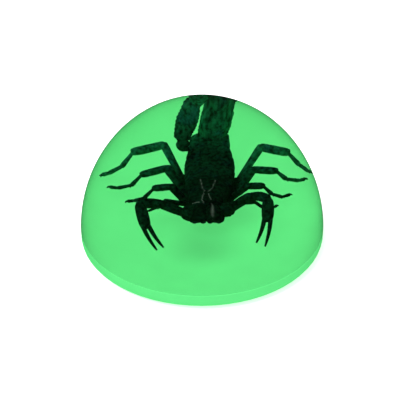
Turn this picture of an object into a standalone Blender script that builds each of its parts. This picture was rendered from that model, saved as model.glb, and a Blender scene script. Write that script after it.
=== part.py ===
"""Dome paperweight: a scorpion cast in clear resin above a glow-in-the-dark base.

The origin is the centre of the underside, +Z is up and the scorpion faces -Y. Lengths are in
millimetres and headings in degrees from +X, and a mesh is scaled to metres when it is made.
"""

import math
from itertools import pairwise

import bmesh
import bpy
from mathutils import Vector

MM = 0.001
UP = Vector((0, 0, 1))

# The paperweight's outside: a nearly elliptical dome on a rounded lower edge
DOME_RADIUS = 35.0
DOME_HEIGHT = 42.0
DOME_FULLNESS = 1.97  # exponent of the dome's section, 2 for an ellipse
EDGE_WIDTH = 3.7  # how far the lower edge's rounding reaches in
EDGE_HEIGHT = 2.9
AROUND = 64
EDGE_RINGS = 5  # rings of the mesh between the underside and the widest height
DOME_RINGS = 11  # and from there to the top

# Layers of the casting
GLOW_THICKNESS = 5.0
GAP = 0.3
PARTING_HEIGHT = 8.9
POCKET_ROOM = 0.42
POCKET_SWELL = 1.18  #the pocket's limbs are this much fuller, for the bends between segments

# Finishes: colour, roughness, share of light that passes through and strength of the glow
GLOW_RESIN = ((0.12, 0.82, 0.22), 0.35, 0.0, 0.6)
CLEAR_RESIN = ((0.93, 1.0, 0.95), 0.03, 1.0, 0.0)
SCORPION_SHELL = ((0.004, 0.045, 0.015), 0.38, 0.0, 0.0)
SHARP_ANGLE = 40  # edges with a sharper turn than this are shaded as corners

# The scorpion's trunk. A station is: along the body, across, half width, height of its side,
# rise of its back and drop of its belly.
CARAPACE = (
    (-1.6, 0.9, 2.5, 9.9, 0.8, 1.4),
    (-1.1, 0.9, 2.9, 9.8, 1.3, 2.2),
    (1.6, 1.0, 3.5, 9.6, 1.7, 2.8),
    (4.4, 1.2, 4.1, 9.5, 1.9, 3.0),
    (6.6, 1.3, 4.4, 9.4, 1.8, 3.0),
)
TERGITE_ENDS = (6.8, 8.0, 9.4, 11.1, 13.0, 15.0, 17.2, 20.2)
TERGITE_HALF_WIDTHS = (4.4, 4.4, 4.35, 4.25, 3.85, 3.35, 2.9)
TERGITE_OFFSETS = (1.36, 1.36, 1.31, 1.28, 1.19, 1.1, 1.14)
TERGITE_STEP = 0.2  # how far each plate's rear edge stands out
BACK_HEIGHT = 11.2
BACK_SLOPE = 0.05  # fall of the back towards the tail, in mm per mm
SIDE_HEIGHT = 9.2
BELLY_HEIGHT = 6.6

# The tail rises from the trunk's end and arches forwards over its right side. The joints and
# widths of its first four segments, and the form of each as places along it and shares of its
# width. The fifth segment and the sting are given as centres and half widths.
TAIL_JOINTS = (
    (1.27, 20.3, 9.1),
    (2.85, 20.8, 14.4),
    (1.7, 22.2, 19.4),
    (0.7, 20.0, 23.5),
    (-0.6, 18.95, 18.2),
)
TAIL_WIDTHS = (4.8, 4.0, 4.0, 3.8)
TAIL_FORM = ((-0.09, 0.6), (0.05, 0.88), (0.5, 1.0), (0.85, 0.95), (1.09, 0.6))
TAIL_POCKET_FORM = ((-0.12, 1.0), (1.12, 1.0))
TAIL_DEPTH_SHARE = 0.9
TAIL_ACROSS = Vector((1, 0, 0))
LAST_SEGMENT = (
    ((-0.75, 19.3, 17.85), 0.75),
    ((-1.05, 18.8, 17.05), 1.05),
    ((-1.98, 17.65, 15.8), 1.65),
    ((-2.5, 17.05, 15.05), 1.75),
    ((-2.87, 16.45, 14.35), 1.6),
    ((-3.2, 15.6, 13.42), 1.4),
    ((-3.25, 15.3, 13.1), 0.8),
)
TELSON = (
    ((-3.15, 15.75, 13.45), 0.7),
    ((-3.08, 15.35, 12.75), 1.1),
    ((-3.0, 15.15, 12.2), 1.27),
    ((-2.75, 15.0, 11.85), 0.9),
    ((-2.45, 14.88, 11.66), 0.5),
    ((-2.1, 14.75, 11.56), 0.26),
    ((-1.6, 14.7, 11.6), 0.08),
)

# Legs: widths of the segments from coxa to tarsus, and then the joints of each leg from hip to
# claws. The coxa runs inwards from the hip, under the trunk.
LEG_WIDTHS = (2.15, 1.6, 1.5, 0.9, 0.72, 0.52)
LEG_SIZES = {("right", 1): 0.7, ("left", 1): 0.76}
COXA_REACH = 2.6
COXA_FORWARD = 1.0
COXA_HEIGHT = 7.3
LEGS = {
    ("right", 1): (
        (-2.83, 2.85, 7.8),
        (-7.16, 0.91, 9.8),
        (-8.66, 0.01, 8.8),
        (-10.18, 0.95, 7.4),
        (-11.03, 1.73, 6.6),
        (-11.55, 2.04, 6.2),
    ),
    ("right", 2): (
        (-3.42, 4.4, 7.8),
        (-5.72, 4.22, 11.1),
        (-8.85, 5.65, 9.6),
        (-10.68, 4.85, 7.8),
        (-12.34, 5.53, 6.6),
        (-14.03, 5.82, 6.2),
    ),
    ("right", 3): (
        (-3.3, 7.45, 7.8),
        (-6.13, 10.15, 11.1),
        (-10.55, 9.87, 9.6),
        (-12.4, 8.88, 7.8),
        (-14.64, 9.39, 6.6),
        (-16.36, 10.25, 6.2),
    ),
    ("right", 4): (
        (-3.4, 11.75, 7.3),
        (-6.05, 16.38, 11.1),
        (-10.88, 15.76, 9.6),
        (-12.96, 14.04, 7.8),
        (-15.0, 13.42, 6.6),
        (-16.65, 13.03, 6.2),
    ),
    ("left", 1): (
        (5.42, 2.75, 7.8),
        (10.2, 0.95, 9.5),
        (11.75, 0.45, 8.4),
        (12.9, 1.95, 7.2),
        (13.6, 3.1, 6.6),
        (14.07, 4.42, 6.2),
    ),
    ("left", 2): (
        (5.4, 4.9, 7.8),
        (8.5, 4.25, 11.1),
        (11.22, 6.22, 9.6),
        (12.75, 5.9, 7.8),
        (14.55, 6.38, 6.6),
        (16.05, 7.95, 6.2),
    ),
    ("left", 3): (
        (6.7, 7.4, 7.8),
        (8.95, 9.5, 11.1),
        (12.9, 10.62, 9.6),
        (14.56, 10.34, 7.8),
        (16.43, 11.1, 6.6),
        (17.75, 12.05, 6.2),
    ),
    ("left", 4): (
        (6.19, 10.53, 7.4),
        (9.5, 15.41, 11.1),
        (13.74, 15.04, 9.6),
        (15.75, 13.85, 7.8),
        (17.36, 13.38, 6.6),
        (18.55, 13.35, 6.2),
    ),
}
# The form of a segment, as places along it and shares of its width: the first ones of a limb
# swell towards their far end and the rest in the middle
ROOT_FORM = ((0.06, 0.85), (0.45, 0.93), (0.93, 1.05))
SEGMENT_FORM = ((0.06, 0.85), (0.45, 1.0), (0.92, 0.88))
ROOTS = 2  # how many segments of a limb have the first form

# Pincer arms: trunk, trochanter, elbow, wrist, the fork of the fingers and the two tips
ARM_WIDTHS = (3.3, 2.25, 2.4)
HAND_WIDTH = 2.85
HAND_FORM = ((0.0, 0.55), (0.15, 0.87), (0.45, 1.0), (0.85, 0.85))
FINGER_WIDTHS = (1.15, 1.05, 0.8, 0.4)
FINGER_BOW = 0.25
FINGER_OVERLAP = 1.2
FINGER_SPREAD = 0.66
ARMS = {
    "right": (
        (-0.4, -0.8, 8.6),
        (-3.2, -2.45, 9.0),
        (-8.1, -1.77, 11.0),
        (-12.63, -1.73, 11.0),
        (-11.7, -7.9, 8.5),
        (-9.85, -12.95, 6.2),
        (-8.25, -11.75, 6.2),
    ),
    "left": (
        (2.4, -1.0, 8.6),
        (5.6, -0.85, 9.0),
        (9.52, 0.9, 11.0),
        (13.15, -0.2, 11.0),
        (13.5, -5.2, 8.5),
        (11.45, -10.05, 6.2),
        (13.65, -11.75, 6.2),
    ),
}

# Chelicerae in front of the mouth and combs under the belly. A station is: out from the middle
# line, along, height, half width and half depth.
JAW_SIDES = (-1, 1)
JAW = (
    (1.0, -0.8, 9.6, 1.3, 1.3),
    (1.35, -2.4, 9.6, 1.75, 1.5),
    (1.6, -4.2, 9.2, 2.1, 1.35),
    (1.6, -5.35, 8.85, 1.85, 0.8),
)
JAW_CENTRE = 0.9
STAGGER = 0.06  # how far the left one of a pair lies behind the right one
COMB = ((0.7, 7.4, 6.5, 0.5, 0.3), (2.2, 8.6, 6.4, 0.6, 0.3), (3.7, 10.2, 6.4, 0.3, 0.3))
COMB_CENTRE = 1.3

LIMB_SIDES = 6
TAIL_SIDES = 8
TRUNK_SIDES = 16


def clear_scene():
    """Start from an empty scene."""
    for item in list(bpy.data.objects):
        bpy.data.objects.remove(item, do_unlink=True)


def material(name, finish):
    """A Principled material of one finish."""
    colour, roughness, transmission, glow = finish
    made = bpy.data.materials.new(name)
    made.use_nodes = True
    shader = made.node_tree.nodes["Principled BSDF"]
    shader.inputs["Base Color"].default_value = (*colour, 1)
    shader.inputs["Roughness"].default_value = roughness
    shader.inputs["Metallic"].default_value = 0.0
    shader.inputs["Transmission Weight"].default_value = transmission
    shader.inputs["Emission Color"].default_value = (*colour, 1)
    shader.inputs["Emission Strength"].default_value = glow
    made.diffuse_color = (*colour, 1)
    return made


def new_object(name, bm, finish=None):
    """Turn a mesh in millimetres into an object in metres."""
    bmesh.ops.scale(bm, vec=(MM, MM, MM), verts=bm.verts)
    bmesh.ops.recalc_face_normals(bm, faces=bm.faces)
    mesh = bpy.data.meshes.new(name)
    bm.to_mesh(mesh)
    bm.free()
    if finish:
        mesh.materials.append(finish)
    mesh.shade_smooth()
    mesh.set_sharp_from_angle(angle=math.radians(SHARP_ANGLE))
    made = bpy.data.objects.new(name, mesh)
    bpy.context.scene.collection.objects.link(made)
    return made


def skin(bm, rings):
    """Join rings of points, each the same length, into a closed skin with flat ends."""
    loops = [[bm.verts.new(point) for point in ring] for ring in rings]
    for lower, upper in pairwise(loops):
        for here in range(len(lower)):
            after = (here + 1) % len(lower)
            bm.faces.new((lower[here], lower[after], upper[after], upper[here]))
    bm.faces.new(reversed(loops[0]))
    bm.faces.new(loops[-1])
    return loops


def outside_angle(height):
    """The angle along the outside's section at a height: -90 at the base, 0 where widest."""
    if height < EDGE_HEIGHT:
        return math.asin(height / EDGE_HEIGHT - 1)
    rise = (height - EDGE_HEIGHT) / (DOME_HEIGHT - EDGE_HEIGHT)
    return math.asin(min(1.0, rise ** (DOME_FULLNESS / 2)))


def outside_point(angle):
    """Radius and height of the outside at an angle along its section."""
    if angle < 0:
        return DOME_RADIUS - EDGE_WIDTH * (1 - math.cos(angle)), EDGE_HEIGHT * (1 + math.sin(angle))
    power = 2 / DOME_FULLNESS
    rise = math.sin(angle) ** power
    return (
        DOME_RADIUS * max(0.0, math.cos(angle)) ** power,
        EDGE_HEIGHT + (DOME_HEIGHT - EDGE_HEIGHT) * rise,
    )


def section(bottom, top):
    """The outside's angles at a slice's two ends and at the rings of the mesh between them."""
    quarter = math.pi / 2
    low, high = outside_angle(bottom), outside_angle(top)
    rings = [quarter * (step / EDGE_RINGS - 1) for step in range(EDGE_RINGS)]
    rings += [quarter * step / DOME_RINGS for step in range(DOME_RINGS + 1)]
    apart = quarter / DOME_RINGS / 3
    return [low, *(a for a in rings if low + apart < a < high - apart), high]


def layer(name, bottom, top, finish):
    """The slice of the paperweight between two heights."""
    angles = section(bottom, top)
    reaches_top = top >= DOME_HEIGHT
    if reaches_top:
        angles.pop()
    turns = [2 * math.pi * side / AROUND for side in range(AROUND)]
    rings = []
    for angle in angles:
        radius, height = outside_point(angle)
        rings.append([(radius * math.cos(t), radius * math.sin(t), height) for t in turns])
    bm = bmesh.new()
    loops = skin(bm, rings)
    if reaches_top:
        cap = bm.faces.get(loops[-1])
        bmesh.ops.poke(bm, faces=[cap])
        peak = max(bm.verts, key=lambda vert: len(vert.link_edges))
        peak.co.z = DOME_HEIGHT
    return new_object(name, bm, finish)


def tube(name, stations, sides, room=0.0, across=None):
    """A closed tube through stations of centre, half width, rise and drop, grown by room."""
    centres = [Vector(station[0]) for station in stations]
    first = (centres[1] - centres[0]).normalized()
    last = (centres[-1] - centres[-2]).normalized()
    centres[0] = centres[0] - first * room
    centres[-1] = centres[-1] + last * room
    across = across or first.cross(UP).normalized()
    rings = []
    for index, (_, half, rise, drop) in enumerate(stations):
        before, after = max(0, index - 1), min(len(centres) - 1, index + 1)
        along = (centres[after] - centres[before]).normalized()
        across = (across - along * across.dot(along)).normalized()
        over = across.cross(along)
        ring = []
        for side in range(sides):
            turn = 2 * math.pi * (side + 0.5) / sides
            depth = rise if math.sin(turn) > 0 else drop
            ring.append(
                centres[index]
                + across * (half + room) * math.cos(turn)
                + over * (depth + room) * math.sin(turn)
            )
        rings.append(ring)
    bm = bmesh.new()
    skin(bm, rings)
    return new_object(name, bm)


def segment(start, end, width, form, depth_share=1.0):
    """Stations of one segment of a limb in its form."""
    stations = []
    for along, share in form:
        half = share * width / 2
        deep = half * depth_share
        stations.append((Vector(start).lerp(Vector(end), along), half, deep, deep))
    return stations


def jointed(joints, widths, detailed):
    """Stations of a limb: segments narrow at their ends, or a plain run past the joints."""
    if not detailed:
        fullest = [widths[0], *(max(pair) for pair in pairwise(widths)), widths[-1]]
        halves = [width * POCKET_SWELL / 2 for width in fullest]
        return [(joint, half, half, half) for joint, half in zip(joints, halves)]
    stations = []
    for index, ((start, end), width) in enumerate(zip(pairwise(joints), widths)):
        form = ROOT_FORM if index < ROOTS else SEGMENT_FORM
        stations.extend(segment(start, end, width, form))
    return stations


def trunk_stations(detailed):
    """Stations of the carapace and of the seven plates behind it."""
    stations = [
        ((across, along, side), half, rise, drop)
        for along, across, half, side, rise, drop in CARAPACE
    ]
    for (front, rear), half, across in zip(
        pairwise(TERGITE_ENDS), TERGITE_HALF_WIDTHS, TERGITE_OFFSETS
    ):
        before = stations[-1][1]
        back = BACK_HEIGHT - BACK_SLOPE * (rear - TERGITE_ENDS[0])
        rise, drop = back - SIDE_HEIGHT, SIDE_HEIGHT - BELLY_HEIGHT
        if detailed:
            narrow = min(before, half) - TERGITE_STEP
            step = TERGITE_STEP
            front_place = (across, front + step, SIDE_HEIGHT)
            stations.append((front_place, narrow, rise - step, drop - step))
        stations.append(((across, rear, SIDE_HEIGHT), half, rise, drop))
    return stations


def leg_joints(side, number):
    """Joints of a leg from its coxa under the trunk to its claws."""
    joints = [Vector(joint) for joint in LEGS[side, number]]
    inward = 1 if side == "right" else -1
    hip = joints[0]
    return [Vector((hip.x + inward * COXA_REACH, hip.y - COXA_FORWARD, COXA_HEIGHT)), *joints]


def tail_parts(name, detailed, room):
    """The tail: each of its segments, and the sting, reaches into the one before it."""
    form, swell = (TAIL_FORM, 1.0) if detailed else (TAIL_POCKET_FORM, POCKET_SWELL)
    for (start, end), width in zip(pairwise(TAIL_JOINTS), TAIL_WIDTHS):
        stations = segment(start, end, width * swell, form, TAIL_DEPTH_SHARE)
        yield tube(name, stations, TAIL_SIDES, room, TAIL_ACROSS)
    for form, depth_share in ((LAST_SEGMENT, TAIL_DEPTH_SHARE), (TELSON, 1.0)):
        stations = [(place, half, half * depth_share, half * depth_share) for place, half in form]
        yield tube(name, stations, TAIL_SIDES, room, TAIL_ACROSS)


def finger_stations(root, tip, bow):
    """Stations of a pincer's finger, bowed sideways like a claw."""
    root, tip = Vector(root), Vector(tip)
    sideways = (tip - root).cross(UP).normalized() * bow
    count = len(FINGER_WIDTHS) - 1
    stations = []
    for index, width in enumerate(FINGER_WIDTHS):
        along = index / count
        centre = root.lerp(tip, along) + sideways * math.sin(math.pi * along)
        stations.append((centre, width / 2, width / 2, width / 2))
    return stations


def hand_stations(wrist, fork):
    """Stations of the swollen hand between the wrist and the fork of the fingers."""
    stations = []
    for along, share in HAND_FORM:
        half = share * HAND_WIDTH / 2
        stations.append((Vector(wrist).lerp(Vector(fork), along), half, half, half))
    return stations


def arm_parts(name, side, joints, detailed, room):
    """A pincer arm: three segments, the hand and two fingers that both bow outwards."""
    trunk, trochanter, elbow, wrist, fork, first_tip, second_tip = map(Vector, joints)
    reach = (trunk, trochanter, elbow, wrist)
    yield tube(f"{name}_reach", jointed(reach, ARM_WIDTHS, detailed), LIMB_SIDES, room)
    yield tube(f"{name}_hand", hand_stations(wrist, fork), TAIL_SIDES, room)
    between = (first_tip + second_tip) / 2
    heading = (fork - wrist).normalized()
    apart = heading.cross(UP).normalized()
    bow = FINGER_BOW if side == "right" else -FINGER_BOW
    for tip in (first_tip, second_tip):
        spread = math.copysign(FINGER_SPREAD, (tip - between).dot(apart))
        root = fork - heading * FINGER_OVERLAP + apart * spread
        yield tube(f"{name}_finger", finger_stations(root, tip, bow), LIMB_SIDES, room)


def mirrored_tube(name, form, centre, side, room):
    """A small tube whose places are given out from the body's middle line."""
    behind = max(0, side) * STAGGER
    stations = [
        ((centre + side * out, along + behind, height), half, deep, deep)
        for out, along, height, half, deep in form
    ]
    return tube(name, stations, LIMB_SIDES, room)


def scorpion_parts(prefix, detailed, room=0.0):
    """Every shape that the scorpion is fused from, or the plainer ones that enclose it."""
    parts = [tube(f"{prefix}_trunk", trunk_stations(detailed), TRUNK_SIDES, room)]
    parts.extend(tail_parts(f"{prefix}_tail", detailed, room))
    for side, number in LEGS:
        widths = [width * LEG_SIZES.get((side, number), 1.0) for width in LEG_WIDTHS]
        stations = jointed(leg_joints(side, number), widths, detailed)
        parts.append(tube(f"{prefix}_leg_{side}_{number}", stations, LIMB_SIDES, room))
    for side, joints in ARMS.items():
        parts.extend(arm_parts(f"{prefix}_arm_{side}", side, joints, detailed, room))
    for side in JAW_SIDES:
        parts.append(mirrored_tube(f"{prefix}_jaw", JAW, JAW_CENTRE, side, room))
        parts.append(mirrored_tube(f"{prefix}_comb", COMB, COMB_CENTRE, side, room))
    return parts


def as_cutter(item):
    """Keep a shape out of the model: it only helps to make another."""
    item.hide_render = True
    item.display_type = "WIRE"


def fuse(name, parts, finish=None):
    """Unite closed shapes into one solid."""
    first, *others = parts
    first.name = name
    first.data.name = name
    if finish:
        first.data.materials.append(finish)
    group = bpy.data.collections.new(f"{name}_parts")
    bpy.context.scene.collection.children.link(group)
    for other in others:
        bpy.context.scene.collection.objects.unlink(other)
        group.objects.link(other)
        as_cutter(other)
    union = first.modifiers.new("union", "BOOLEAN")
    union.operation = "UNION"
    union.operand_type = "COLLECTION"
    union.collection = group
    return first


def hollow(solid, cutter):
    """Cut a closed shape out of a closed solid. The exact solver fails on the thin lower half."""
    cut = solid.modifiers.new("pocket", "BOOLEAN")
    cut.operation = "DIFFERENCE"
    cut.solver = "MANIFOLD"
    cut.object = cutter


def build():
    """Make the glowing base, the two halves of the clear dome and the scorpion."""
    clear_scene()
    glow = material("glow_resin", GLOW_RESIN)
    clear = material("clear_resin", CLEAR_RESIN)
    shell = material("scorpion_shell", SCORPION_SHELL)

    layer("glow_base", 0.0, GLOW_THICKNESS, glow)
    lower_top = PARTING_HEIGHT - GAP / 2
    upper_bottom = PARTING_HEIGHT + GAP / 2
    lower = layer("clear_dome_lower", GLOW_THICKNESS + GAP, lower_top, clear)
    upper = layer("clear_dome_upper", upper_bottom, DOME_HEIGHT, clear)

    fuse("scorpion", scorpion_parts("scorpion", detailed=True), shell)
    pocket = fuse("pocket", scorpion_parts("pocket", detailed=False, room=POCKET_ROOM))
    as_cutter(pocket)
    for half in (lower, upper):
        hollow(half, pocket)


build()
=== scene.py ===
import math
from itertools import pairwise

import bmesh
import bpy
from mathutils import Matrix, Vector, noise


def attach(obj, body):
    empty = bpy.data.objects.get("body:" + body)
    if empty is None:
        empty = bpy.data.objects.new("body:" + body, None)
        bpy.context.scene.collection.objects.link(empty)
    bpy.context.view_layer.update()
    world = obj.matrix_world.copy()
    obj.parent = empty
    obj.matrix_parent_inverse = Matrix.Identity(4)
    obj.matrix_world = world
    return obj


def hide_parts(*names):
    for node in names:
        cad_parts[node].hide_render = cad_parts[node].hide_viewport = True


# The finished look of the dome paperweight: a clear dome cast round a dried scorpion, on a
# glowing green base. Lengths are in millimetres, and a mesh is scaled to metres when it is
# made. The scorpion faces -Y, and its right is towards -X.

MM = 0.001
TURN = 2 * math.pi
UP = Vector((0, 0, 1))
SIDEWAYS = Vector((1, 0, 0))
SHARP_ANGLE = 50.0  # edges with a sharper turn than this are shaded as corners

# The outside, as in the solids
DOME_RADIUS = 35.0
DOME_HEIGHT = 42.0
DOME_FULLNESS = 1.97
EDGE_WIDTH = 3.7
EDGE_HEIGHT = 2.9
GLOW_THICKNESS = 5.0
DOME_SUNK = 0.2  # the clear dome reaches this far into the glowing layer, so no air lies between
DOME_INSET = 0.06  # how far it lies inside the outside there
DOME_START = 0.3  # height above the glowing layer from which on it is the outside
DOME_AROUND = 240
DOME_RINGS = 96

# The camera, as the photo was taken
CAMERA_DISTANCE = 280.0
CAMERA_ELEVATION = 35.0
CAMERA_AIM = (1.73, 4.47, 6.38)
SENSOR_WIDTH = 36.0
FOCAL_LENGTH = 82.76

# The scorpion's trunk. A station is: along the body, across, half width, height of its side,
# rise of its back and drop of its belly.
CARAPACE = (
    (-1.75, 0.9, 2.0, 9.9, 0.5, 1.2),
    (-1.6, 0.9, 2.5, 9.9, 0.8, 1.4),
    (-1.1, 0.9, 2.9, 9.8, 1.3, 2.2),
    (1.6, 1.0, 3.5, 9.6, 1.7, 2.8),
    (4.4, 1.2, 4.1, 9.5, 1.9, 3.0),
    (6.6, 1.3, 4.4, 9.4, 1.8, 3.0),
)
TERGITE_ENDS = (6.8, 8.0, 9.4, 11.1, 13.0, 15.0, 17.2, 20.2)
TERGITE_HALF_WIDTHS = (4.36, 4.37, 4.3, 4.22, 3.82, 3.3, 2.85)
TERGITE_OFFSETS = (1.36, 1.36, 1.31, 1.28, 1.19, 1.1, 1.14)
TERGITE_STEP = 0.17  # how far each plate's rear edge stands out
TERGITE_BULGE = 0.06  # how far its sides do in the middle
TERGITE_GAP = 0.03
TERGITE_RINGS = 12
BACK_HEIGHT = 11.2
BACK_SLOPE = 0.05  # fall of the back towards the tail, in mm per mm
SIDE_HEIGHT = 9.2
BELLY_HEIGHT = 6.6
TRUNK_SIDES = 144

# Raised lines of the carapace, seen from above: a lyre that narrows at the eyes and opens again
# towards the front margin. A line is its points across and along, and how high it stands.
LYRE_LEFT = (
    (2.5, 6.2),
    (2.3, 5.0),
    (1.95, 3.3),
    (1.25, 2.2),
    (1.3, 1.2),
    (1.55, 0.2),
    (1.76, -0.4),
)
LYRE_RIGHT = (
    (-0.3, 6.5),
    (-0.1, 5.0),
    (0.06, 3.3),
    (0.5, 2.5),
    (0.4, 1.55),
    (0.1, 0.8),
    (-0.04, -0.6),
    (0.3, -1.2),
)
FRONT_MARGIN = ((-1.9, -1.0), (-0.5, -1.15), (0.9, -1.05), (2.3, -1.15), (3.6, -1.0))
CARAPACE_LINES = ((LYRE_LEFT, 0.16), (LYRE_RIGHT, 0.16), (FRONT_MARGIN, 0.1))
LINE_WIDTH = 0.15
LINE_PITCH = 0.4  # of the grains along a line

# Painted highlights on the shell, where its raised lines catch the light, as lines in plan with a
# half width and a strength. The jaw's widths and strengths are those of its line's rear and front
# ends.
FRONT_GLINT = ((-2.1, -0.5), (-1.5, -0.8), (-0.6, -1.0))
JAW_GLINT = ((1.75, -0.95), (2.12, -2.5), (2.1, -5.4))
CARAPACE_GLINTS = (
    (LYRE_LEFT, 0.1, 0.36),
    (LYRE_RIGHT, 0.1, 0.36),
    (FRONT_GLINT, 0.13, 0.5),
)
JAW_GLINT_WIDTHS = (0.1, 0.27)
JAW_GLINT_STRENGTHS = (0.12, 0.4)
PLATE_LINES = (-1.5, 0.0, 1.5)  # where the three lines of each back plate run
PLATE_LINE_HEIGHT = 0.13
PLATE_LINE_PITCH = 0.45

# The eyes: a pair on top and three small ones at each front corner
EYES = (
    ((0.62, 1.75, 11.42), 0.26),
    ((1.32, 1.75, 11.42), 0.26),
    ((-1.55, -0.75, 10.45), 0.13),
    ((-1.75, -0.4, 10.45), 0.12),
    ((-1.85, 0.0, 10.4), 0.1),
    ((3.35, -0.75, 10.45), 0.13),
    ((3.55, -0.4, 10.45), 0.12),
    ((3.65, 0.0, 10.4), 0.1),
)

# The tail rises from the trunk's end and arches forwards over its right side. The joints of its
# first four segments, and for each its width and its form, as places along it and shares of its
# width. The fifth segment and the sting are given as centres and half widths.
TAIL_JOINTS = (
    (1.27, 20.3, 9.1),
    (2.77, 20.8, 14.4),
    (1.6, 22.2, 19.4),
    (0.7, 20.0, 23.5),
    (-0.6, 18.95, 18.2),
)
FIRST_TAIL_FORM = (
    (0.0, 0.87),
    (0.1, 0.92),
    (0.4, 0.99),
    (0.55, 1.0),
    (0.62, 0.975),
    (0.69, 0.91),
    (0.77, 0.81),
    (0.84, 0.73),
    (1.0, 0.6),
)
TAIL_FORM = ((0.0, 0.84), (0.1, 0.92), (0.5, 0.99), (0.75, 1.0), (0.9, 0.96), (1.0, 0.84))
TAIL_SEGMENTS = ((4.55, FIRST_TAIL_FORM), (3.7, TAIL_FORM), (3.7, TAIL_FORM), (3.5, TAIL_FORM))
TAIL_DEPTH_SHARE = 0.9
TAIL_KEELS = (18, 58, 122, 162, 198, 238, 302, 342)  # their angles round a segment
TAIL_KEEL_WIDTH = 0.13  # as an angle in radians
TAIL_KEEL_HEIGHT = 0.17
TAIL_SUNK = 0.12  # how far the shell between the keels lies below the segment's form
TAIL_SIDES = 80
LAST_SEGMENT = (
    ((-0.7, 19.4, 18.0), 0.45),
    ((-0.8, 19.15, 17.6), 0.7),
    ((-1.05, 18.8, 17.05), 0.97),
    ((-1.49, 18.3, 16.5), 1.34),
    ((-1.98, 17.65, 15.8), 1.54),
    ((-2.5, 17.05, 15.05), 1.62),
    ((-2.87, 16.45, 14.35), 1.5),
    ((-3.1, 15.95, 13.8), 1.4),
    ((-3.2, 15.6, 13.42), 1.32),
    ((-3.25, 15.35, 13.15), 0.88),
    ((-3.25, 15.25, 13.05), 0.5),
)
TELSON = (
    ((-3.15, 15.75, 13.45), 0.65),
    ((-3.1, 15.55, 13.15), 0.8),
    ((-3.08, 15.35, 12.75), 1.02),
    ((-3.05, 15.2, 12.35), 1.2),
    ((-2.95, 15.12, 12.08), 1.12),
    ((-2.75, 15.0, 11.85), 0.85),
    ((-2.45, 14.88, 11.66), 0.46),
    ((-2.1, 14.75, 11.56), 0.24),
    ((-1.6, 14.7, 11.6), 0.05),
)

# Legs: width and form of each segment from coxa to tarsus, and then the joints of each leg from
# hip to claws. The coxa runs inwards from the hip, under the trunk.
COXA_FORM = ((0.0, 0.9), (0.5, 1.0), (0.85, 1.0), (1.0, 0.95))
FEMUR_FORM = ((0.0, 0.93), (0.12, 0.95), (0.5, 0.96), (0.85, 1.04), (1.0, 0.98))
PATELLA_FORM = ((0.0, 0.86), (0.12, 0.95), (0.45, 1.0), (0.85, 0.96), (1.0, 0.8))
TIBIA_FORM = ((0.0, 0.7), (0.12, 0.73), (0.5, 0.88), (0.85, 1.1), (1.0, 0.98))
TARSUS_FORM = ((0.0, 0.85), (0.3, 0.93), (0.8, 1.05), (1.0, 0.98))
LEG_SEGMENTS = (
    (1.75, COXA_FORM),
    (1.35, FEMUR_FORM),
    (1.34, PATELLA_FORM),
    (0.72, TIBIA_FORM),
    (0.6, TARSUS_FORM),
    (0.58, TARSUS_FORM),
)
LEG_SIZES = {  # shares of those widths, for the legs that differ
    ("right", 1): (0.8, 0.78, 0.62, 0.62, 0.62, 0.62),
    ("right", 2): (1.12, 1.12, 1.0, 1.0, 1.0, 1.0),
    ("right", 3): (1.22, 1.22, 1.0, 1.0, 1.0, 1.0),
    ("right", 4): (1.1, 1.0, 0.96, 1.0, 1.0, 1.0),
    ("left", 1): (0.72, 0.6, 0.5, 0.6, 0.8, 0.95),
    ("left", 3): (1.2, 1.2, 1.0, 1.0, 1.0, 1.0),
    ("left", 4): (1.1, 1.0, 0.95, 0.95, 1.0, 1.0),
}
COXA_REACH = 2.6
COXA_FORWARD = 1.0
COXA_HEIGHT = 7.3
LEGS = {
    ("right", 1): (
        (-2.83, 2.85, 7.8),
        (-7.16, 0.91, 9.8),
        (-8.66, 0.01, 8.8),
        (-10.18, 0.95, 7.4),
        (-11.03, 1.73, 6.6),
        (-11.55, 2.04, 6.2),
    ),
    ("right", 2): (
        (-3.42, 4.4, 7.8),
        (-5.72, 4.22, 11.1),
        (-8.85, 5.65, 9.6),
        (-10.68, 4.85, 7.8),
        (-12.34, 5.53, 6.6),
        (-14.03, 5.82, 6.1),
    ),
    ("right", 3): (
        (-3.3, 7.45, 7.8),
        (-6.13, 10.15, 11.1),
        (-10.55, 9.87, 9.6),
        (-12.4, 8.88, 7.8),
        (-14.64, 9.39, 6.6),
        (-16.36, 10.25, 6.1),
    ),
    ("right", 4): (
        (-3.4, 11.75, 7.3),
        (-6.05, 16.38, 11.1),
        (-10.88, 15.76, 9.6),
        (-12.96, 14.04, 7.8),
        (-15.0, 13.42, 6.6),
        (-16.65, 13.03, 6.1),
    ),
    ("left", 1): (
        (5.42, 2.75, 7.8),
        (10.2, 0.95, 9.5),
        (11.75, 0.45, 8.4),
        (12.9, 1.95, 7.2),
        (13.6, 3.1, 6.6),
        (14.07, 4.42, 6.1),
    ),
    ("left", 2): (
        (5.4, 4.9, 7.8),
        (8.5, 4.25, 11.1),
        (11.22, 6.22, 9.6),
        (12.75, 5.9, 7.8),
        (14.55, 6.38, 6.6),
        (16.05, 7.95, 6.1),
    ),
    ("left", 3): (
        (6.7, 7.4, 7.8),
        (8.95, 9.5, 11.1),
        (12.9, 10.62, 9.6),
        (14.56, 10.34, 7.8),
        (16.43, 11.1, 6.6),
        (17.75, 12.05, 6.1),
    ),
    ("left", 4): (
        (6.19, 10.53, 7.4),
        (9.5, 15.41, 11.1),
        (13.74, 15.04, 9.6),
        (15.75, 13.85, 7.8),
        (17.36, 13.38, 6.6),
        (18.55, 13.35, 6.1),
    ),
}
LIMB_SIDES = 28
LIMB_KEELS = (60, 120, 240, 300)
LIMB_KEEL_WIDTH = 0.22
LIMB_KEEL_HEIGHT = 0.07
LIMB_TOOTH_PITCH = 0.6
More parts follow.
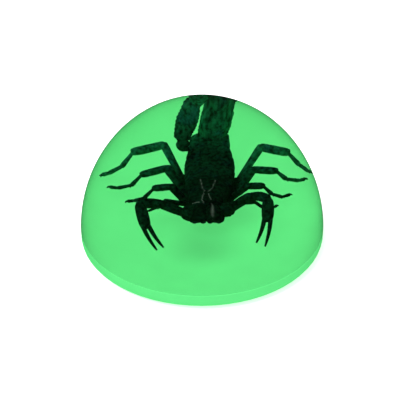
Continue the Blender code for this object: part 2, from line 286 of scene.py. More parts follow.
# How a segment's rounded ends reach into its neighbours: how far, as a share of its width, and
# what share of its end's width they have there
START_CAP = ((0.22, 0.45), (0.13, 0.82))
END_CAP = ((0.16, 0.85), (0.27, 0.45))
SPUR_WIDTHS = (0.3, 0.2, 0.04)  # of the spur under each tibia's end
SPUR_LENGTH = 0.5
SPUR_DROOP = 0.6
SPURRED = 3  # the tibia's place among a leg's segments
CLAW_LENGTH = 0.6
CLAW_SPREAD = 14.0
CLAW_DROOP = 0.4
CLAW_WIDTHS = (0.42, 0.36, 0.25, 0.06)
POINT_SIDES = 10

# Pincer arms: trunk, trochanter, elbow, wrist, the fork of the fingers and the two tips. A bow
# is how far the middle of a segment lies behind the line between its joints.
ARM_WIDTHS = {"right": (3.3, 1.98, 2.15), "left": (2.95, 1.98, 1.97)}
ARM_BOWS = {"right": (0.0, 0.0, 0.15), "left": (0.0, 0.42, 0.55)}
ARM_FORM = ((0.0, 0.72), (0.08, 0.84), (0.45, 0.97), (0.8, 1.0), (0.95, 0.97), (1.0, 0.85))
HAND_WIDTH = 2.7
HAND_FORM = ((0.0, 0.6), (0.12, 0.87), (0.45, 1.0), (0.75, 0.95), (0.84, 0.82))
FINGER_WIDTHS = (1.02, 0.98, 0.92, 0.82, 0.72, 0.58, 0.36)
FINGER_BOW = 0.25
FINGER_OVERLAP = 1.2
FINGER_SPREAD = 0.66
FINGER_TOOTH_PITCH = 0.42
FINGER_TOOTH_HEIGHT = 0.09
FINGER_TOOTH_WIDTH = 0.5
ARMS = {
    "right": (
        (-0.4, -0.8, 8.6),
        (-3.2, -2.45, 9.0),
        (-8.1, -1.77, 11.0),
        (-12.63, -1.73, 11.0),
        (-11.7, -7.9, 8.5),
        (-9.85, -12.95, 6.2),
        (-8.25, -11.75, 6.2),
    ),
    "left": (
        (2.4, -1.0, 8.6),
        (5.6, -0.85, 9.0),
        (9.52, 0.72, 11.0),
        (13.15, -0.35, 11.0),
        (13.5, -5.2, 8.5),
        (11.45, -10.05, 6.2),
        (13.65, -11.75, 6.2),
    ),
}

# Chelicerae in front of the mouth, and the combs under the belly. A station of a chelicera is:
# out from the middle line, along, height, half width and half depth.
SIDES = (-1, 1)  # its right and its left
JAW = (
    (1.0, -0.8, 9.6, 1.2, 1.2),
    (1.35, -2.4, 9.6, 1.6, 1.4),
    (1.63, -3.8, 9.3, 1.95, 1.3),
    (1.65, -4.45, 9.1, 2.0, 1.15),
    (1.63, -4.85, 8.95, 1.88, 0.85),
    (1.6, -5.15, 8.9, 1.55, 0.45),
)
JAW_CENTRE = 0.9
JAW_FINGERS = (-0.9, 0.85)  # how far outside the jaw's middle each of its fingers is
JAW_FINGER = (
    (-4.3, 8.95, 0.8),
    (-4.9, 8.85, 0.74),
    (-5.25, 8.75, 0.58),
    (-5.42, 8.7, 0.34),
    (-5.47, 8.7, 0.12),
)
COMB = ((0.7, 7.4, 6.5, 0.5), (2.2, 8.6, 6.4, 0.6), (3.7, 10.2, 6.4, 0.3))
COMB_CENTRE = 1.3
COMB_WIDTH_SHARE = 0.6
COMB_DEPTH = 0.25
COMB_TEETH = 16
COMB_TOOTH = (-0.35, 0.75, -0.05)  # from its root to its tip: out, along and up

# Grain of the shell: size and height of its bumps
GRAIN = 0.42
GRAIN_HEIGHT = 0.07
TOOTH_PITCH = 0.5  # of the teeth along a keel

# Colours. The shell's green is partly painted light: the glowing layer's light is painted into its
# colour as if it came through the thin shell. It is darkest over the front of the trunk, and
# greener to the rear, along the legs and in the tail, where the shell is also lighter of its own.
GLOW = (0.109, 0.765, 0.206)
GLOW_BODY = (0.03, 0.2, 0.06)
GLOW_CLOUDS = (0.96, 1.04)  # shares of its light in its faint clouds
GLOW_SIDE_SHARES = (0.74, 0.815, 0.78)  # of its light at its side, for red, green and blue
GLOW_SIDE_TOP = (GLOW_THICKNESS - 0.3, GLOW_THICKNESS - 0.05)  # where its side's light ends
GLOW_EDGES = (22.0, 34.0)  # how far out to the sides it grows dimmer, and to what share
GLOW_EDGE_SHARE = 0.88
# Painted shadow of the scorpion on the glowing layer: its light is dimmed in spots under and before
# it
GLOW_SHADOW_SPOTS = (((1.6, 4.8), 16.0, 0.22), ((0.3, -9.6), 11.0, 0.36))  # centre, radius, strength
GLOW_SHADOW_SHARE = 0.3
CLEAR_IOR = 1.5
CLEAR_TINT = (0.9, 1.0, 0.93)
CLEAR_DENSITY = 6.0
SHELL_DARK = (0.0008, 0.0115, 0.0035)
# the shell's colour where the most green glow light is painted in
SHELL_GREEN = (0.0058, 0.13, 0.043)
SHELL_BLUE = (0.002, 0.045, 0.045)
SHELL_BLUES = (0.2, 2.0)  # how bright its blue patches are at either end of the tones
SHELL_BLUE_SHARE = 0.35
SHELL_SHADES = (0.35, 1.6)  # how bright its darkest and brightest mottles are
# colour of the painted highlights on the raised lines
SHELL_GLINT = (0.26, 0.34, 0.27)
LEG_TONES = {1: 0.08, 2: 0.17, 3: 0.38, 4: 0.9}
ARM_TONE = 0.09
ROOT_TONE = 0.05  # of a limb at the trunk, up to the first of these distances from the middle
ROOT_ENDS = (4.5, 7.7)

# The setting, with its lengths in metres. The dome mirrors less light than falls on it from all
# round.
FLOOR = (0.94, 0.94, 0.94)
FLOOR_LIGHT = 0.55
FLOOR_SIZE = 6.0
FLOOR_HEIGHT = -0.0002
LAMP_PLACE = (-0.6, -0.4, 1.2)
LAMP_SIZE = 1.0
LAMP_WATTS = 18.0
WORLD_LIGHT = 0.6
WORLD_MIRRORED = 0.008


def no_relief(place, turn, travelled):
    """A smooth surface."""
    return 0.0


def cubic(share, before, start, end, after):
    """A smooth curve's value between start and end."""
    bend = 2 * before - 5 * start + 4 * end - after
    twist = 3 * (start - end) + after - before
    return start + 0.5 * share * (end - before + share * (bend + share * twist))


def flowing(stations, steps):
    """Stations on a smooth curve through the given ones."""
    padded = [stations[0], *stations, stations[-1]]
    made = []
    for four in zip(padded, padded[1:], padded[2:], padded[3:]):
        for step in range(steps):
            made.append(tuple(cubic(step / steps, *values) for values in zip(*four)))
    made.append(tuple(stations[-1]))
    return made


def sweep(stations, sides, relief=no_relief, sideways=None):
    """Rings of points round a line of stations: x, y, z, half width, rise and drop."""
    centres = [Vector(station[:3]) for station in stations]
    across = sideways or (centres[1] - centres[0]).cross(UP).normalized()
    rings, travelled = [], 0.0
    for index, station in enumerate(stations):
        before, after = max(0, index - 1), min(len(centres) - 1, index + 1)
        along = (centres[after] - centres[before]).normalized()
        across = (across - along * across.dot(along)).normalized()
        over = across.cross(along)
        ring = []
        for side in range(sides):
            turn = TURN * side / sides
            depth = station[4] if math.sin(turn) > 0 else station[5]
            way = across * station[3] * math.cos(turn) + over * depth * math.sin(turn)
            place = centres[index] + way
            ring.append(place + way.normalized() * relief(place, turn, travelled))
        rings.append(ring)
        if index + 1 < len(centres):
            travelled += (centres[index + 1] - centres[index]).length
    return rings


def skin(bm, rings):
    """Join rings of points into a closed skin with filled ends."""
    loops = [[bm.verts.new(point) for point in ring] for ring in rings]
    for lower, upper in pairwise(loops):
        for here in range(len(lower)):
            after = (here + 1) % len(lower)
            bm.faces.new((lower[here], lower[after], upper[after], upper[here]))
    bm.faces.new(reversed(loops[0]))
    bm.faces.new(loops[-1])


def piece(name, bm, finish, stands_for, lines=None, tone=None):
    """A mesh in millimetres as a finished object in metres, with its painted highlights and its
    tone, into which green glow light is painted.
    """
    # The "line" layer holds where highlights are painted, and the "tone" layer how much green glow
    # light is painted in
    for label, share in (("line", lines), ("tone", tone)):
        layer = bm.verts.layers.float.new(label)
        for vert in bm.verts:
            vert[layer] = share(vert.co) if share else 0.0
    bmesh.ops.scale(bm, vec=(MM, MM, MM), verts=bm.verts)
    bmesh.ops.recalc_face_normals(bm, faces=bm.faces)
    mesh = bpy.data.meshes.new(name)
    bm.to_mesh(mesh)
    bm.free()
    mesh.materials.append(finish)
    mesh.shade_smooth()
    mesh.set_sharp_from_angle(angle=math.radians(SHARP_ANGLE))
    made = bpy.data.objects.new(name, mesh)
    bpy.context.scene.collection.objects.link(made)
    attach(made, "root")
    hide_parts(*stands_for)


def scorpion_piece(name, bm, shell, lines=None, tone=None):
    """A piece of the scorpion. Together they take the place of the solid one."""
    piece(f"scorpion_{name}", bm, shell, ("scorpion",), lines, tone)


def round_station(place, width):
    """A station of round section."""
    return (*place, width / 2, width / 2, width / 2)


def spaced(values):
    """Each of some values with its place along them, from 0 to 1."""
    return [(index / (len(values) - 1), value) for index, value in enumerate(values)]


def grains(place, size=GRAIN):
    """Rounded grains of the shell: 1 on top of one and 0 between them."""
    nearest = noise.voronoi(place / size)[0][0]
    return max(0.0, 1 - 1.9 * nearest) ** 0.7


def teeth(travelled, pitch=TOOTH_PITCH):
    """A row of teeth along a keel."""
    return 0.5 + 0.5 * math.cos(TURN * travelled / pitch)


def keel(turn, angles, width):
    """How close a turn round a limb is to one of its keels, from 0 to 1."""
    apart = min(abs((turn - math.radians(a) + math.pi) % TURN - math.pi) for a in angles)
    return math.exp(-((apart / width) ** 2))


# The clear dome and the glowing layer


def outside_radius(height):
    """Radius of the outside at a height."""
    if height < EDGE_HEIGHT:
        rise = 1 - height / EDGE_HEIGHT
        return DOME_RADIUS - EDGE_WIDTH * (1 - math.sqrt(max(0.0, 1 - rise * rise)))
    rise = (height - EDGE_HEIGHT) / (DOME_HEIGHT - EDGE_HEIGHT)
    return DOME_RADIUS * max(0.0, 1 - rise**DOME_FULLNESS) ** (1 / DOME_FULLNESS)


def dome_profile():
    """Radius and height from the dome's sunk edge to its top, closer together near the top."""
    low = outside_radius(GLOW_THICKNESS)
    profile = [(low - 3 * DOME_INSET, GLOW_THICKNESS - DOME_SUNK)]
    profile.append((low - DOME_INSET, GLOW_THICKNESS + DOME_INSET))
    start = GLOW_THICKNESS + DOME_START
    for ring in range(DOME_RINGS):
        height = start + (DOME_HEIGHT - start) * math.sin(math.pi / 2 * ring / DOME_RINGS)
        profile.append((outside_radius(height), height))
    return profile


def clear_dome():
    """The clear casting, in one piece round the scorpion."""
    turns = [TURN * side / DOME_AROUND for side in range(DOME_AROUND)]
    bm = bmesh.new()
    rings = [
        [(radius * math.cos(turn), radius * math.sin(turn), height) for turn in turns]
        for radius, height in dome_profile()
    ]
    skin(bm, rings)
    bm.faces.ensure_lookup_table()
    top = max(bm.faces, key=lambda face: face.calc_center_median().z)
    bmesh.ops.poke(bm, faces=[top])
    max(bm.verts, key=lambda vert: len(vert.link_edges)).co.z = DOME_HEIGHT
    halves = ("clear_dome_lower", "clear_dome_upper")
    piece("clear_dome", bm, clear_resin(), halves)


# The scorpion


def near_line(x, y, line):
    """Distance in plan from a place to a line of points."""
    place = Vector((x, y))
    nearest = math.inf
    for start, end in pairwise(line):
        start, end = Vector(start), Vector(end)
        along = end - start
        share = max(0.0, min(1.0, (place - start).dot(along) / along.length_squared))
        nearest = min(nearest, (place - start - along * share).length)
    return nearest


def trunk_stations():
    """Stations of the carapace and of the seven plates behind it, with their stepped edges."""
    shield = [(across, y, side, half, rise, drop) for y, across, half, side, rise, drop in CARAPACE]
    stations = flowing(shield, 10)
    before, offset = TERGITE_HALF_WIDTHS[0], TERGITE_OFFSETS[0]
    for (front, rear), half, across in zip(
        pairwise(TERGITE_ENDS), TERGITE_HALF_WIDTHS, TERGITE_OFFSETS
    ):
        back = BACK_HEIGHT - BACK_SLOPE * (rear - TERGITE_ENDS[0])
        rise, drop = back - SIDE_HEIGHT, SIDE_HEIGHT - BELLY_HEIGHT
        for ring in range(TERGITE_RINGS + 1):
            share = ring / TERGITE_RINGS
            lift = TERGITE_STEP * (1 - share**0.7)
            tuck = TERGITE_STEP * max(0.0, 1 - share / 0.3) ** 2
            width = before + (half - before) * share - tuck
            width += TERGITE_BULGE * math.sin(math.pi * share)
            x = offset + (across - offset) * share
            y = front + TERGITE_GAP + (rear - front - TERGITE_GAP) * share
            stations.append((x, y, SIDE_HEIGHT, width, rise - lift, drop - lift))
        before, offset = half, across
    across, y, side, half, rise, drop = stations[-1]
    stations.append((across, y + 0.25, side, half * 0.85, rise * 0.8, drop * 0.85))
    return stations


def trunk_relief(place, turn, travelled):
    """Grain, the lyre and the front margin on the carapace, and three lines on each plate."""
    if math.sin(turn) < -0.1:
        return 0.3 * GRAIN_HEIGHT * grains(place, 2 * GRAIN)
    height = GRAIN_HEIGHT * grains(place)
    if math.sin(turn) < 0.2:
        return height
    if place.y < TERGITE_ENDS[0]:
        for line, rise in CARAPACE_LINES:
            near = math.exp(-((near_line(place.x, place.y, line) / LINE_WIDTH) ** 2))
            height += rise * near * (0.7 + 0.3 * teeth(place.y, LINE_PITCH))
        return height
    middle = TERGITE_OFFSETS[3]
    for across in PLATE_LINES:
        near = math.exp(-(((place.x - middle - across) / LINE_WIDTH) ** 2))
        height += PLATE_LINE_HEIGHT * near * teeth(place.y, PLATE_LINE_PITCH)
    return height


def painted_carapace_glint(place):
    """How strong the painted highlight on the carapace is at a place: only its raised lines catch
    the light.
    """
    if place.y > TERGITE_ENDS[0] or place.z < SIDE_HEIGHT + 1:
        return 0.0
    return max(
        strength * math.exp(-((near_line(place.x, place.y, line) / half) ** 2))
        for line, half, strength in CARAPACE_GLINTS
    )


def painted_jaw_glint(place):
    """How strong the painted highlight on a chelicera is at a place: one streak, which widens to
    the front.
    """
    if place.z < SIDE_HEIGHT:
        return 0.0
    share = eased(-place.y, 1.0, 4.5)
    half, strength = (
        rear + (front - rear) * share for rear, front in (JAW_GLINT_WIDTHS, JAW_GLINT_STRENGTHS)
    )
    return strength * math.exp(-((near_line(place.x, place.y, JAW_GLINT) / half) ** 2))


# Tones, partly the shell's own colour and partly painted light: 0 where the shell is darkest, 1
# where the most green glow light is painted in as coming through it


def eased(value, low, high):
    """How far a value is from low to high, from 0 to 1."""
    share = max(0.0, min(1.0, (value - low) / (high - low)))
    return share * share * (3 - 2 * share)


def trunk_tone(place):
    """The trunk is darkest in front."""
    return 0.02 + 0.1 * eased(place.y, 5, 12) + 0.5 * eased(place.y, 14.5, 19.5)


def tail_tone(place):
    """The tail's end and sting, on the right, are darker than the rest of it."""
    last = 0.22 + 0.7 * eased(place.z, 13.5, 19.5)
    return 1.0 + (last - 1.0) * eased(-place.x, 0.0, 1.0)


def limb_tone(end):
    """A tone function for a limb that is dark at the trunk and has the tone end further out."""

    def tone(place):
        out = abs(place.x - TERGITE_OFFSETS[3])
        return ROOT_TONE + (end - ROOT_TONE) * eased(out, *ROOT_ENDS)

    return tone


def trunk(shell):
    """Carapace, back plates and belly."""
    bm = bmesh.new()
    skin(bm, sweep(trunk_stations(), TRUNK_SIDES, trunk_relief))
    scorpion_piece("trunk", bm, shell, painted_carapace_glint, trunk_tone)


def eyes(shell):
    """The two eyes on top and the small ones at the front corners."""
    bm = bmesh.new()
    for centre, radius in EYES:
        ball = bmesh.ops.create_icosphere(bm, subdivisions=3, radius=radius)
        bmesh.ops.translate(bm, vec=centre, verts=ball["verts"])
    scorpion_piece("eyes", bm, shell)


def segment(start, end, width, form, depth_share=1.0, bow=0.0):
    """Stations of one segment, with rounded ends that reach into its neighbours."""
    start, end = Vector(start), Vector(end)
    along = (end - start).normalized()
    marks = [(start - along * width * reach, form[0][1] * share) for reach, share in START_CAP]
    for place, share in form:
        back = Vector((0, bow * math.sin(math.pi * place), 0))
        marks.append((start.lerp(end, place) + back, share))
    last = start.lerp(end, form[-1][0])
    marks += [(last + along * width * reach, form[-1][1] * share) for reach, share in END_CAP]
    stations = []
    for place, share in marks:
        half = share * width / 2
        stations.append((*place, half, half * depth_share, half * depth_share))
    return stations


def tail_relief(place, turn, travelled):
    """Toothed keels and grain round a tail segment."""
    near = keel(turn, TAIL_KEELS, TAIL_KEEL_WIDTH)
    height = TAIL_KEEL_HEIGHT * near * (0.45 + 0.55 * teeth(travelled))
    return height - TAIL_SUNK + 0.8 * GRAIN_HEIGHT * grains(place)


def telson_relief(place, turn, travelled):
    """Fine grain on the sting's bulb."""
    return 0.7 * GRAIN_HEIGHT * grains(place)


def tail(shell):
    """Five segments and the sting."""
    bm = bmesh.new()
    for (start, end), (width, form) in zip(pairwise(TAIL_JOINTS), TAIL_SEGMENTS):
        stations = flowing(segment(start, end, width, form, TAIL_DEPTH_SHARE), 6)
        skin(bm, sweep(stations, TAIL_SIDES, tail_relief, SIDEWAYS))
    deep = TAIL_DEPTH_SHARE
    last = [(*centre, half, half * deep, half * deep) for centre, half in LAST_SEGMENT]
    skin(bm, sweep(flowing(last, 8), TAIL_SIDES, tail_relief, SIDEWAYS))
    sting = [(*centre, half, half, half) for centre, half in TELSON]
    skin(bm, sweep(flowing(sting, 6), TAIL_SIDES // 2, telson_relief, SIDEWAYS))
    scorpion_piece("tail", bm, shell, tone=tail_tone)


def limb_relief(place, turn, travelled):
    """Low keels and fine grain round a limb."""
    near = keel(turn, LIMB_KEELS, LIMB_KEEL_WIDTH)
    height = LIMB_KEEL_HEIGHT * near * (0.5 + 0.5 * teeth(travelled, LIMB_TOOTH_PITCH))
    return height - 0.3 * LIMB_KEEL_HEIGHT + 0.35 * GRAIN_HEIGHT * grains(place, 0.6 * GRAIN)


def leg_joints(side, number):
    """Joints of a leg from its coxa under the trunk to its claws."""
    joints = [Vector(joint) for joint in LEGS[side, number]]
    inward = 1 if side == "right" else -1
    hip = joints[0]
    return [Vector((hip.x + inward * COXA_REACH, hip.y - COXA_FORWARD, COXA_HEIGHT)), *joints]


def spur(bm, knee, ankle):
    """The spur under the end of a tibia."""
    out = (ankle - knee).normalized() - SPUR_DROOP * UP
    stations = [
        round_station(ankle + out * SPUR_LENGTH * share, width)
        for share, width in spaced(SPUR_WIDTHS)
    ]
    skin(bm, sweep(flowing(stations, 3), POINT_SIDES))


def claws(bm, tip, heading):
    """Two curved claws at a leg's end."""
    for side in (-1, 1):
        turn = heading + side * math.radians(CLAW_SPREAD)
        out = Vector((math.cos(turn), math.sin(turn), 0))
        stations = [
            round_station(tip + out * CLAW_LENGTH * share - UP * CLAW_DROOP * share**2, width)
            for share, width in spaced(CLAW_WIDTHS)
        ]
        skin(bm, sweep(flowing(stations, 3), POINT_SIDES))


def legs(shell):
    """The eight legs, each with its segments and claws."""
    for side, number in LEGS:
        bm = bmesh.new()
        joints = leg_joints(side, number)
        last = joints[-1] - joints[-2]
        joints[-1] -= last.normalized() * CLAW_LENGTH
        sizes = LEG_SIZES.get((side, number), (1.0,) * len(LEG_SEGMENTS))
        for (start, end), (width, form), size in zip(pairwise(joints), LEG_SEGMENTS, sizes):
            stations = segment(start, end, width * size, form)
            skin(bm, sweep(flowing(stations, 4), LIMB_SIDES, limb_relief))
        spur(bm, joints[SPURRED], joints[SPURRED + 1])
        claws(bm, joints[-1], math.atan2(last.y, last.x))
        scorpion_piece(f"leg_{side}_{number}", bm, shell, tone=limb_tone(LEG_TONES[number]))


def finger(bm, root, tip, bow, inward):
    """A pincer's finger, bowed like a claw, with teeth along its inner edge."""
    sideways = (tip - root).cross(UP).normalized()
    stations = []
    for share, width in spaced(FINGER_WIDTHS):
        place = root.lerp(tip, share) + sideways * bow * math.sin(math.pi * share)
        stations.append(round_station(place, width))
    facing = 0 if inward > 0 else 180

    def toothed(place, turn, travelled):
        near = keel(turn, (facing,), FINGER_TOOTH_WIDTH)
        return FINGER_TOOTH_HEIGHT * near * teeth(travelled, FINGER_TOOTH_PITCH)

    skin(bm, sweep(flowing(stations, 8), LIMB_SIDES, toothed))


def arms(shell):
    """The two pincer arms."""
    for side, joints in ARMS.items():
        bm = bmesh.new()
        points = [Vector(joint) for joint in joints]
        reach = zip(pairwise(points[:4]), ARM_WIDTHS[side], ARM_BOWS[side])
        for (start, end), width, bow in reach:
            stations = flowing(segment(start, end, width, ARM_FORM, bow=bow), 6)
            skin(bm, sweep(stations, 2 * LIMB_SIDES, limb_relief))
        wrist, fork, first_tip, second_tip = points[3:]
        hand = flowing(segment(wrist, fork, HAND_WIDTH, HAND_FORM), 6)
        skin(bm, sweep(hand, 2 * LIMB_SIDES, limb_relief))
        between = (first_tip + second_tip) / 2
        heading = (fork - wrist).normalized()
        apart = heading.cross(UP).normalized()
        bow = FINGER_BOW if side == "right" else -FINGER_BOW
        for tip in (first_tip, second_tip):
            away = math.copysign(1, (tip - between).dot(apart))
            root = fork - heading * FINGER_OVERLAP + apart * away * FINGER_SPREAD
            finger(bm, root, tip, bow, -away)
        scorpion_piece(f"arm_{side}", bm, shell, tone=limb_tone(ARM_TONE))


def jaws(shell):
    """The two chelicerae, each with two short blunt fingers at its front."""
    bm = bmesh.new()
    for side in SIDES:
        stations = [
            (JAW_CENTRE + side * out, y, z, half, deep, deep) for out, y, z, half, deep in JAW
        ]
        skin(bm, sweep(flowing(stations, 6), 2 * LIMB_SIDES, limb_relief))
        middle = JAW_CENTRE + side * JAW[-1][0]
        for aside in JAW_FINGERS:
            x = middle + side * aside
            prong = [(x, y, z, half, half, half) for y, z, half in JAW_FINGER]
            skin(bm, sweep(flowing(prong, 4), LIMB_SIDES))
    scorpion_piece("chelicerae", bm, shell, painted_jaw_glint)


def combs(shell):
    """The two combs under the belly, each a bar with a row of teeth."""
    bm = bmesh.new()
    wide, deep = COMB_WIDTH_SHARE, COMB_DEPTH
    out, along, up = COMB_TOOTH
    thick, thin = (0.12, 0.1, 0.1), (0.05, 0.05, 0.05)
    for side in SIDES:
        bar = [
            (COMB_CENTRE + side * x, y, z, half * wide, deep, deep) for x, y, z, half in COMB
        ]
        bar = flowing(bar, 10)
        skin(bm, sweep(bar, 16))
        for index in range(COMB_TEETH):
            share = (index + 1.5) / (COMB_TEETH + 2)
            place = Vector(bar[round(share * (len(bar) - 1))][:3])
            end = place + Vector((side * out, along, up))
            tooth = [(*place, *thick), (*place.lerp(end, 0.7), *thick), (*end, *thin)]
            skin(bm, sweep(flowing(tooth, 2), 8))
    scorpion_piece("combs", bm, shell)


# Materials


def principled(name):
    """A new material with a Principled shader, and that shader."""
    made = bpy.data.materials.new(name)
    made.use_nodes = True
    return made, made.node_tree.nodes["Principled BSDF"]


def node(material, kind, **settings):
    """A node with some of its settings and inputs filled in."""
    made = material.node_tree.nodes.new(kind)
    for name, value in settings.items():
        if name in made.inputs:
            made.inputs[name].default_value = value
        else:
            setattr(made, name, value)
    return made


def link(material, source, target):
    """Join an output socket to an input socket."""
    material.node_tree.links.new(source, target)


def grey(share):
    """A grey as an RGB value."""
    return (share, share, share)


def mix(material, factor, first, second, way="MIX"):
    """Two colours mixed by a factor's socket, or in full. Each is a socket or an RGB value."""
    made = node(material, "ShaderNodeMix", data_type="RGBA", blend_type=way)
    if factor is None:
        made.inputs["Factor"].default_value = 1.0
    else:
        link(material, factor, made.inputs["Factor"])
    colours = [socket for socket in made.inputs if socket.type == "RGBA"]
    for socket, colour in zip(colours, (first, second)):
        if isinstance(colour, tuple):
            socket.default_value = (*colour, 1)
        else:
            link(material, colour, socket)
    return next(socket for socket in made.outputs if socket.type == "RGBA")


def product(material, first, second):
    """Two colours multiplied."""
    return mix(material, None, first, second, "MULTIPLY")


def in_millimetres(material):
    """The place on the surface, in millimetres of the row's frame."""
    coordinates = node(material, "ShaderNodeTexCoord")
    scaled = node(material, "ShaderNodeVectorMath", operation="SCALE", Scale=1 / MM)
    link(material, coordinates.outputs["Object"], scaled.inputs[0])
    return scaled.outputs[0]


def pattern(material, place, scale, low, high):
    """Noise of a scale per millimetre, spread from 0 at low to 1 at high."""
    made = node(material, "ShaderNodeTexNoise", Scale=scale, Detail=4.0)
    link(material, place, made.inputs["Vector"])
    spread = node(material, "ShaderNodeMapRange")
    spread.inputs["From Min"].default_value = low
    spread.inputs["From Max"].default_value = high
    link(material, made.outputs["Fac"], spread.inputs["Value"])
    return spread.outputs["Result"]


def ranged(material, source, low, high, to_low=0.0, to_high=1.0):
    """A value moved smoothly from one range to another."""
    made = node(material, "ShaderNodeMapRange", interpolation_type="SMOOTHSTEP")
    for name, value in zip(
        ("From Min", "From Max", "To Min", "To Max"), (low, high, to_low, to_high)
    ):
        made.inputs[name].default_value = value
    link(material, source, made.inputs["Value"])
    return made.outputs["Result"]


def clear_resin():
    """Clear casting resin: smooth, with a faint green cast."""
    made, shader = principled("clear_resin_look")
    shader.inputs["Base Color"].default_value = (1, 1, 1, 1)
    shader.inputs["Roughness"].default_value = 0.0
    shader.inputs["IOR"].default_value = CLEAR_IOR
    shader.inputs["Transmission Weight"].default_value = 1.0
    depth = node(made, "ShaderNodeVolumeAbsorption", Density=CLEAR_DENSITY)
    depth.inputs["Color"].default_value = (*CLEAR_TINT, 1)
    link(made, depth.outputs[0], made.node_tree.nodes["Material Output"].inputs["Volume"])
    return made


def glow_resin():
    """Glowing resin: a green light with fine mottling, and the scorpion's shadow painted on it
    under and before the scorpion.
    """
    made, shader = principled("glow_resin_look")
    place = in_millimetres(made)
    parts = node(made, "ShaderNodeSeparateXYZ")
    link(made, place, parts.inputs[0])
    colour = GLOW
    # Painted shadow of the scorpion: the light is dimmed in each spot
    for centre, radius, share in GLOW_SHADOW_SPOTS:
        near = node(made, "ShaderNodeMapping")
        near.inputs["Location"].default_value = (*(-value / radius for value in centre), 0)
        near.inputs["Scale"].default_value = (1 / radius, 1 / radius, 0)
        link(made, place, near.inputs["Vector"])
        shadow_spot = node(made, "ShaderNodeTexGradient", gradient_type="SPHERICAL")
        link(made, near.outputs["Vector"], shadow_spot.inputs["Vector"])
        shadow = ranged(made, shadow_spot.outputs["Fac"], 0.0, 1.0, 0.0, share)
        colour = mix(made, shadow, colour, tuple(GLOW_SHADOW_SHARE * value for value in GLOW))
    cloud = pattern(made, place, 0.15, 0.2, 0.8)
    colour = product(made, colour, mix(made, cloud, *(grey(share) for share in GLOW_CLOUDS)))
    side = ranged(made, parts.outputs["Z"], *GLOW_SIDE_TOP)
    colour = product(made, colour, mix(made, side, GLOW_SIDE_SHARES, grey(1.0)))
    across = node(made, "ShaderNodeMath", operation="ABSOLUTE")
    link(made, parts.outputs["X"], across.inputs[0])
    edge = ranged(made, across.outputs[0], *GLOW_EDGES)
    colour = product(made, colour, mix(made, edge, grey(1.0), grey(GLOW_EDGE_SHARE)))
    link(made, colour, shader.inputs["Emission Color"])
    shader.inputs["Emission Strength"].default_value = 1.0
    shader.inputs["Base Color"].default_value = (*GLOW_BODY, 1)
    shader.inputs["Specular IOR Level"].default_value = 0.2
    rough = pattern(made, place, 1.2, 0.3, 0.7)
    link(made, ranged(made, rough, 0.0, 1.0, 0.35, 0.5), shader.inputs["Roughness"])
    return made


def scorpion_shell():
    """Dried shell: green-black, with the glow's green light painted in where it is thin, and
    painted highlights on its raised lines.
    """
    made, shader = principled("scorpion_shell_look")
    place = in_millimetres(made)
    # Painted light: the tone mixes in the glow's green as if it came through the thin shell
    tone = node(made, "ShaderNodeAttribute", attribute_name="tone")
    body = mix(made, tone.outputs["Fac"], SHELL_DARK, SHELL_GREEN)
    bright = mix(made, tone.outputs["Fac"], *(grey(share) for share in SHELL_BLUES))
    patches = pattern(made, place, 0.45, 0.5, 0.7)
    blue = ranged(made, patches, 0.0, 1.0, 0.0, SHELL_BLUE_SHARE)
    body = mix(made, blue, body, product(made, SHELL_BLUE, bright))
    mottles = pattern(made, place, 1.6, 0.35, 0.65)
    shade = mix(made, mottles, *(grey(share) for share in SHELL_SHADES))
    body = product(made, body, shade)
    # Painted highlights on the raised lines, broken up by noise
    line = node(made, "ShaderNodeAttribute", attribute_name="line")
    glint_share = node(made, "ShaderNodeMath", operation="MULTIPLY")
    link(made, line.outputs["Fac"], glint_share.inputs[0])
    link(made, pattern(made, place, 0.5, 0.3, 0.5), glint_share.inputs[1])
    glint_share.use_clamp = True
    link(made, mix(made, glint_share.outputs[0], body, SHELL_GLINT), shader.inputs["Base Color"])
    rough = pattern(made, place, 3.0, 0.3, 0.7)
    link(made, ranged(made, rough, 0.0, 1.0, 0.35, 0.6), shader.inputs["Roughness"])
    shader.inputs["Specular IOR Level"].default_value = 0.0
    fine = node(made, "ShaderNodeTexNoise", Scale=5.0, Detail=6.0)
    link(made, place, fine.inputs["Vector"])
    bump = node(made, "ShaderNodeBump", Strength=0.35, Distance=0.06 * MM)
    link(made, fine.outputs["Fac"], bump.inputs["Height"])
    link(made, bump.outputs["Normal"], shader.inputs["Normal"])
    return made


def floor_finish():
    """A plain white surface."""
    made, shader = principled("floor_look")
    shader.inputs["Base Color"].default_value = (*FLOOR, 1)
    shader.inputs["Roughness"].default_value = 0.9
    shader.inputs["Specular IOR Level"].default_value = 0.0
    shader.inputs["Emission Color"].default_value = (1, 1, 1, 1)
    shader.inputs["Emission Strength"].default_value = FLOOR_LIGHT
    return made


# The setting


def floor():
    """A plain white floor that doesn't mirror in the dome."""
    bpy.ops.mesh.primitive_plane_add(size=FLOOR_SIZE, location=(0, 0, FLOOR_HEIGHT))
    made = bpy.context.object
    made.name = "floor"
    made.data.materials.append(floor_finish())
    made.visible_glossy = False


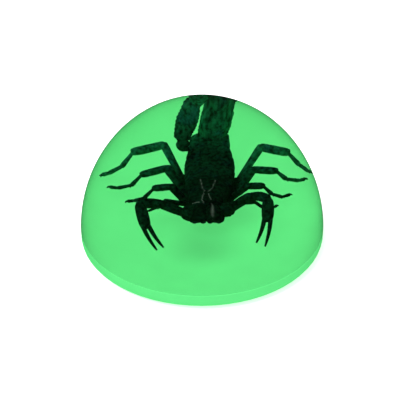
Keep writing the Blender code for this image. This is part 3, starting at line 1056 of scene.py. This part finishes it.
def soft_light():
    """A large soft lamp that looks at the object."""
    data = bpy.data.lights.new("key", "AREA")
    data.shape = "DISK"
    data.size = LAMP_SIZE
    data.energy = LAMP_WATTS
    lamp = bpy.data.objects.new("key", data)
    bpy.context.scene.collection.objects.link(lamp)
    lamp.location = LAMP_PLACE
    lamp.rotation_euler = (-Vector(LAMP_PLACE)).to_track_quat("-Z", "Y").to_euler()
    lamp.visible_glossy = False


def surroundings():
    """Soft white light from all round, of which the polished dome mirrors little."""
    world = bpy.data.worlds.new("studio")
    bpy.context.scene.world = world
    world.use_nodes = True
    background = world.node_tree.nodes["Background"]
    background.inputs["Color"].default_value = (1, 1, 1, 1)
    path = world.node_tree.nodes.new("ShaderNodeLightPath")
    strength = world.node_tree.nodes.new("ShaderNodeMapRange")
    strength.inputs["To Min"].default_value = WORLD_LIGHT
    strength.inputs["To Max"].default_value = WORLD_MIRRORED
    world.node_tree.links.new(path.outputs["Is Glossy Ray"], strength.inputs["Value"])
    world.node_tree.links.new(strength.outputs["Result"], background.inputs["Strength"])


def camera():
    """The camera at the photo's angle."""
    data = bpy.data.cameras.new("camera")
    data.sensor_width = SENSOR_WIDTH
    data.lens = FOCAL_LENGTH
    made = bpy.data.objects.new("camera", data)
    bpy.context.scene.collection.objects.link(made)
    rise = math.radians(CAMERA_ELEVATION)
    place = Vector((0, -math.cos(rise), math.sin(rise))) * CAMERA_DISTANCE
    made.location = place * MM
    made.rotation_euler = (Vector(CAMERA_AIM) - place).to_track_quat("-Z", "Y").to_euler()
    bpy.context.scene.camera = made


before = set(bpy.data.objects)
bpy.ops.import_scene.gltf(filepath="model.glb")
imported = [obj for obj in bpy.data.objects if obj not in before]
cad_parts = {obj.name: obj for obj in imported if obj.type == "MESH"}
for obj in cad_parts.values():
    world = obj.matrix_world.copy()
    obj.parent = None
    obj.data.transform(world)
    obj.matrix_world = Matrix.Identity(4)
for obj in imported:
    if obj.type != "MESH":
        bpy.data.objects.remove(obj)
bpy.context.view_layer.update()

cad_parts["glow_base"].data.materials.clear()
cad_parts["glow_base"].data.materials.append(glow_resin())
clear_dome()
shell_look = scorpion_shell()
for build in (trunk, eyes, tail, legs, arms, jaws, combs):
    build(shell_look)

floor()
soft_light()
surroundings()
camera()
bpy.context.scene.view_settings.view_transform = "Standard"
